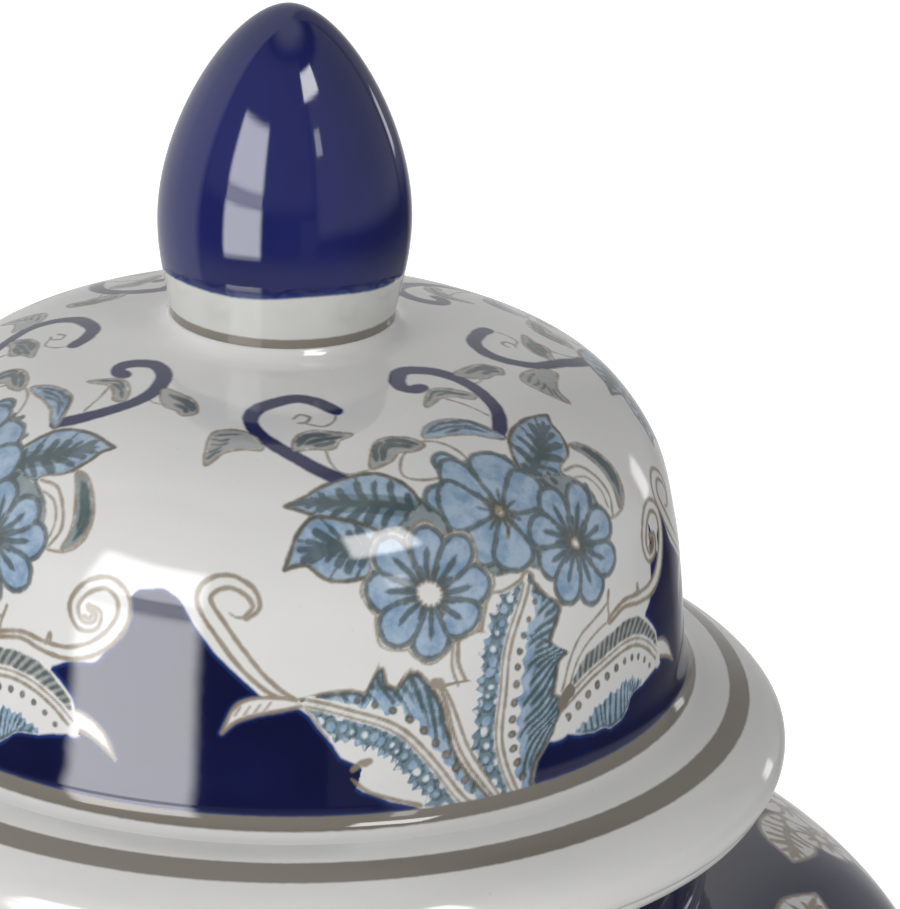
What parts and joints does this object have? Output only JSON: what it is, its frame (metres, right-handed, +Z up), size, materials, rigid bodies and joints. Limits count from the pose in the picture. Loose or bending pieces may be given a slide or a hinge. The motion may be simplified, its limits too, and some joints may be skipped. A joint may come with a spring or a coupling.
{
  "type": "ginger jar",
  "caption": "Baluster porcelain jar with a domed, flanged lid and a tall bud finial, painted in cobalt, pale blue and brown line.",
  "frame": {"origin": "centre of the foot ring's standing plane", "axes": "+Z up along the jar's axis of revolution, from the foot to the finial; +X and +Y are any two level directions at right angles"},
  "size_m": [0.206, 0.206, 0.3653],
  "materials": {
    "painted_porcelain": "glossy clear glaze over painted cobalt, pale blue and brown line",
    "banded_porcelain": "glossy clear glaze over white body with a brown painted band",
    "cobalt_glaze": "glossy deep cobalt glaze",
    "bare_porcelain": "unglazed, wiped and lightly sanded"
  },
  "bodies": {
    "jar": {"foot_base": "bare_porcelain", "body_lower": "painted_porcelain", "body_upper": "painted_porcelain", "neck_collar": "banded_porcelain"},
    "lid": {"lid_flange": "banded_porcelain", "lid_locating_ring": "bare_porcelain", "lid_dome": "painted_porcelain", "finial": "cobalt_glaze"}
  },
  "joints": [
    {"name": "lid_lift", "type": "slide", "parent": "jar", "child": "lid", "axis": [0, 0, 1], "range_m": [0, 0.14]}
  ]
}
